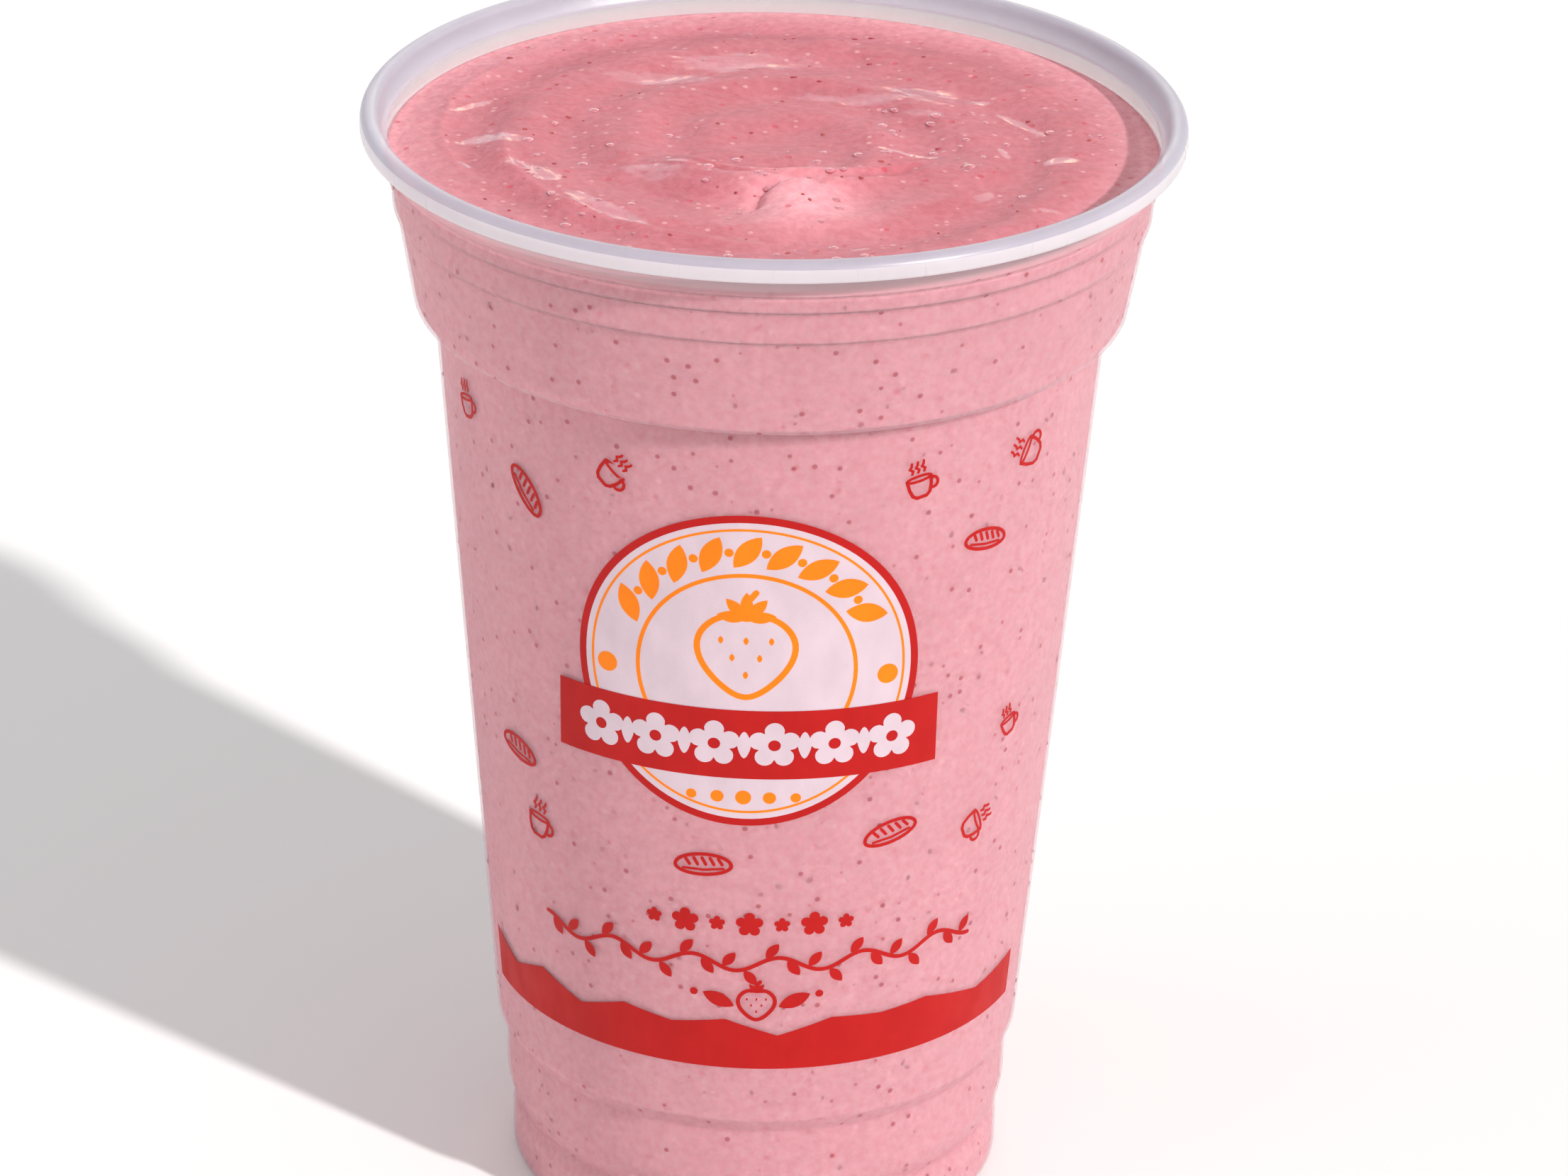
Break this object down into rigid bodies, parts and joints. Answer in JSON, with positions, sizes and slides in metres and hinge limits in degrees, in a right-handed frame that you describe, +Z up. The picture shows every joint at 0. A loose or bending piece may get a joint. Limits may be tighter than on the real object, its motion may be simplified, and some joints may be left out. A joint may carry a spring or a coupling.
{
  "type": "strawberry smoothie in a takeaway cup",
  "caption": "Pink fruit smoothie filling a tapered translucent plastic cup with a rolled rim, stepped collar and foot ring; swirled surface just below the rim.",
  "frame": {"origin": "centre of the cup's base, on the table", "axes": "+Z up through the cup; the printed front faces -Y; +X to the right of someone facing the print"},
  "size_m": [0.098, 0.098, 0.1395],
  "materials": {
    "cup_plastic": "translucent milky moulded plastic, satin gloss",
    "smoothie": "thick blended fruit, wet gloss",
    "seeds": "small dark red seeds and fruit specks",
    "bubbles": "thin wet foam",
    "print_red": "printed ink",
    "print_white": "printed ink",
    "print_orange": "printed ink"
  },
  "bodies": {
    "root": {"cup": "cup_plastic", "smoothie": "smoothie"}
  },
  "joints": []
}
